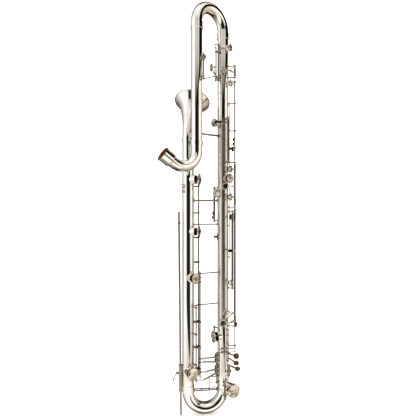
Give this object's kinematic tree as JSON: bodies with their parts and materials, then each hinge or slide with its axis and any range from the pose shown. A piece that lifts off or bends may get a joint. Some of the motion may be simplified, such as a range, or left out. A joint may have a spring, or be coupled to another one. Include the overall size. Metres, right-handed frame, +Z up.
{
  "type": "contrabass clarinet",
  "caption": "Straight metal contrabass clarinet with two long tubes joined by bows, a small leaning bell, key work and a sliding floor peg.",
  "frame": {"origin": "tip of the stowed floor peg, on the peg's axis, level with the bottom of the lower bow", "axes": "+Z up along the tubes, +X from the bell tube to the key tube, +Y away from the side the keys face"},
  "size_m": [0.2317, 0.1913, 1.1252],
  "materials": {
    "tube_silver": "polished silver plate",
    "key_silver": "polished silver plate",
    "peg_steel": "polished steel",
    "rod_steel": "ground steel",
    "spring_blue": "blued steel",
    "pad_leather": "tan pad leather"
  },
  "bodies": {
    "root": {"bell": "tube_silver", "bell_posts": "tube_silver", "bell_tube": "tube_silver", "bottom_bow": "tube_silver", "ferrules": "tube_silver", "front_leg": "tube_silver", "hinge_rods": "rod_steel", "key_posts": "tube_silver", "key_tube": "tube_silver", "neck_socket": "tube_silver", "needle_springs": "spring_blue", "peg_holder": "tube_silver", "strap_rings_and_hook": "tube_silver", "top_bow": "tube_silver", "tube_braces": "tube_silver"},
    "neck_octave_key": {"neck_octave_key": "key_silver", "neck_octave_key_pad": "pad_leather"},
    "register_key": {"register_key": "key_silver", "register_key_pad": "pad_leather"},
    "throat_a_key": {"throat_a_key": "key_silver", "throat_a_key_pad": "pad_leather"},
    "side_key": {"side_key": "key_silver", "side_key_pad": "pad_leather"},
    "trill_key": {"trill_key": "key_silver", "trill_key_pad": "pad_leather"},
    "left_plate_1": {"left_plate_1": "key_silver", "left_plate_1_pad": "pad_leather"},
    "left_plate_2": {"left_plate_2": "key_silver", "left_plate_2_pad": "pad_leather"},
    "front_key": {"front_key": "key_silver", "front_key_pad": "pad_leather"},
    "left_plate_3": {"left_plate_3": "key_silver", "left_plate_3_pad": "pad_leather"},
    "thumb_key": {"thumb_key": "key_silver", "thumb_key_pad": "pad_leather"},
    "right_plate_1": {"right_plate_1": "key_silver", "right_plate_1_pad": "pad_leather"},
    "right_plate_2": {"right_plate_2": "key_silver", "right_plate_2_pad": "pad_leather"},
    "right_plate_3": {"right_plate_3": "key_silver", "right_plate_3_pad": "pad_leather"},
    "low_b_key": {"low_b_key": "key_silver", "low_b_key_pad": "pad_leather"},
    "bow_key": {"bow_key": "key_silver", "bow_key_pad": "pad_leather"},
    "low_e_flat_key": {"low_e_flat_key": "key_silver", "low_e_flat_key_pad": "pad_leather"},
    "low_d_key": {"low_d_key": "key_silver", "low_d_key_pad": "pad_leather"},
    "low_c_sharp_key": {"low_c_sharp_key": "key_silver", "low_c_sharp_key_pad": "pad_leather"},
    "low_c_key": {"low_c_key": "key_silver", "low_c_key_pad": "pad_leather"},
    "e_flat_lever": {"e_flat_lever": "key_silver"},
    "d_lever": {"d_lever": "key_silver"},
    "c_sharp_lever": {"c_sharp_lever": "key_silver"},
    "c_lever": {"c_lever": "key_silver"},
    "octave_lever": {"octave_lever": "key_silver"},
    "floor_peg": {"floor_peg": "peg_steel"},
    "peg_screw": {"peg_screw": "peg_steel"}
  },
  "joints": [
    {"name": "neck_octave_key_turn", "type": "hinge", "parent": "root", "child": "neck_octave_key", "pos_m": [0.05131, -0.06936, 0.938], "axis": [0, 0, 1], "range_deg": [-3.92, 0], "stiffness_Nm_per_rad": 0.15, "springref_deg": 25},
    {"name": "register_key_turn", "type": "hinge", "parent": "root", "child": "register_key", "pos_m": [0.10334, -0.01536, 0.9705], "axis": [0, 0, 1], "range_deg": [-5.91, 0], "stiffness_Nm_per_rad": 0.15, "springref_deg": 25},
    {"name": "throat_a_key_turn", "type": "hinge", "parent": "root", "child": "throat_a_key", "pos_m": [0.14983, -0.00862, 0.95], "axis": [0, 0, 1], "range_deg": [0, 6.07], "stiffness_Nm_per_rad": 0.15, "springref_deg": -25},
    {"name": "side_key_turn", "type": "hinge", "parent": "root", "child": "side_key", "pos_m": [0.14983, -0.00862, 0.8137], "axis": [0, 0, 1], "range_deg": [0, 13.6], "stiffness_Nm_per_rad": 0.15, "springref_deg": -25},
    {"name": "trill_key_turn", "type": "hinge", "parent": "root", "child": "trill_key", "pos_m": [0.12777, -0.02503, 0.7565], "axis": [0, 0, 1], "range_deg": [-7.74, 0], "stiffness_Nm_per_rad": 0.15, "springref_deg": 25},
    {"name": "left_plate_1_turn", "type": "hinge", "parent": "root", "child": "left_plate_1", "pos_m": [0.14983, -0.00862, 0.6786], "axis": [0, 0, 1], "range_deg": [-12.17, 0], "stiffness_Nm_per_rad": 0.15, "springref_deg": 25},
    {"name": "left_plate_2_turn", "type": "hinge", "parent": "root", "child": "left_plate_2", "pos_m": [0.14983, -0.00862, 0.6539], "axis": [0, 0, 1], "range_deg": [-12.28, 0], "stiffness_Nm_per_rad": 0.15, "springref_deg": 25},
    {"name": "front_key_turn", "type": "hinge", "parent": "root", "child": "front_key", "pos_m": [0.14983, -0.00862, 0.6329], "axis": [0, 0, 1], "range_deg": [-7.08, 0], "stiffness_Nm_per_rad": 0.15, "springref_deg": 25},
    {"name": "left_plate_3_turn", "type": "hinge", "parent": "root", "child": "left_plate_3", "pos_m": [0.14983, -0.00862, 0.59935], "axis": [0, 0, 1], "range_deg": [-12.17, 0], "stiffness_Nm_per_rad": 0.15, "springref_deg": 25},
    {"name": "thumb_key_turn", "type": "hinge", "parent": "root", "child": "thumb_key", "pos_m": [0.09558, 0.01275, 0.58], "axis": [0, 0, 1], "range_deg": [-12.21, 0], "stiffness_Nm_per_rad": 0.15, "springref_deg": 25},
    {"name": "right_plate_1_turn", "type": "hinge", "parent": "root", "child": "right_plate_1", "pos_m": [0.14275, -0.00913, 0.453], "axis": [0, 0, 1], "range_deg": [-13.41, 0], "stiffness_Nm_per_rad": 0.15, "springref_deg": 25},
    {"name": "right_plate_2_turn", "type": "hinge", "parent": "root", "child": "right_plate_2", "pos_m": [0.14983, -0.00862, 0.41785], "axis": [0, 0, 1], "range_deg": [-8.74, 0], "stiffness_Nm_per_rad": 0.15, "springref_deg": 25},
    {"name": "right_plate_3_turn", "type": "hinge", "parent": "root", "child": "right_plate_3", "pos_m": [0.14983, -0.00862, 0.25615], "axis": [0, 0, 1], "range_deg": [-7.12, 0], "stiffness_Nm_per_rad": 0.15, "springref_deg": 25},
    {"name": "low_b_key_turn", "type": "hinge", "parent": "root", "child": "low_b_key", "pos_m": [0.09638, 0.01662, 0.213], "axis": [0, 0, 1], "range_deg": [0, 14.43], "stiffness_Nm_per_rad": 0.15, "springref_deg": -25},
    {"name": "bow_key_turn", "type": "hinge", "parent": "root", "child": "bow_key", "pos_m": [0.11654, -0.03198, 0.071], "axis": [0, 0, 1], "range_deg": [0, 14.65], "stiffness_Nm_per_rad": 0.15, "springref_deg": -25},
    {"name": "low_e_flat_key_turn", "type": "hinge", "parent": "root", "child": "low_e_flat_key", "pos_m": [0.0497, 0.0053, 0.379], "axis": [0, 0, 1], "range_deg": [-15.42, 0], "stiffness_Nm_per_rad": 0.6, "springref_deg": 25},
    {"name": "low_d_key_turn", "type": "hinge", "parent": "root", "child": "low_d_key", "pos_m": [0.04886, 0.00051, 0.308], "axis": [0, 0, 1], "range_deg": [-17.71, 0], "stiffness_Nm_per_rad": 0.6, "springref_deg": 25},
    {"name": "low_c_sharp_key_turn", "type": "hinge", "parent": "root", "child": "low_c_sharp_key", "pos_m": [0.05226, -0.00516, 0.2475], "axis": [0, 0, 1], "range_deg": [-13.64, 0], "stiffness_Nm_per_rad": 0.6, "springref_deg": 25},
    {"name": "low_c_key_turn", "type": "hinge", "parent": "root", "child": "low_c_key", "pos_m": [0.03958, -0.01671, 0.2005], "axis": [0, 0, 1], "range_deg": [-16.76, 0], "stiffness_Nm_per_rad": 0.6, "springref_deg": 25},
    {"name": "e_flat_lever_turn", "type": "hinge", "parent": "root", "child": "e_flat_lever", "pos_m": [0.09802, -0.00874, 0.1569], "axis": [0, 0, 1], "range_deg": [0, 6.89]},
    {"name": "d_lever_turn", "type": "hinge", "parent": "root", "child": "d_lever", "pos_m": [0.09802, -0.00874, 0.1437], "axis": [0, 0, 1], "range_deg": [0, 8]},
    {"name": "c_sharp_lever_turn", "type": "hinge", "parent": "root", "child": "c_sharp_lever", "pos_m": [0.09802, -0.00874, 0.1241], "axis": [0, 0, 1], "range_deg": [0, 6.98]},
    {"name": "c_lever_turn", "type": "hinge", "parent": "root", "child": "c_lever", "pos_m": [0.09802, -0.00874, 0.1134], "axis": [0, 0, 1], "range_deg": [0, 9.27]},
    {"name": "octave_lever_turn", "type": "hinge", "parent": "root", "child": "octave_lever", "pos_m": [0.0972, -0.00472, 0.97], "axis": [0, 0, 1], "range_deg": [0, 10.49]},
    {"name": "floor_peg_slide", "type": "slide", "parent": "root", "child": "floor_peg", "axis": [0.0105, 0, -0.9999], "range_m": [0, 0.383]},
    {"name": "peg_screw_turn", "type": "hinge", "parent": "root", "child": "peg_screw", "pos_m": [-0.00122, 0, 0.11699], "axis": [-1, 0, 0], "range_deg": [-40, 140]}
  ],
  "couplings": [
    {"joint": "e_flat_lever_turn", "follows": "low_e_flat_key_turn", "ratio": -0.44347},
    {"joint": "d_lever_turn", "follows": "low_d_key_turn", "ratio": -0.44891},
    {"joint": "c_sharp_lever_turn", "follows": "low_c_sharp_key_turn", "ratio": -0.50797},
    {"joint": "c_lever_turn", "follows": "low_c_key_turn", "ratio": -0.55041},
    {"joint": "octave_lever_turn", "follows": "neck_octave_key_turn", "ratio": -2.6625}
  ]
}
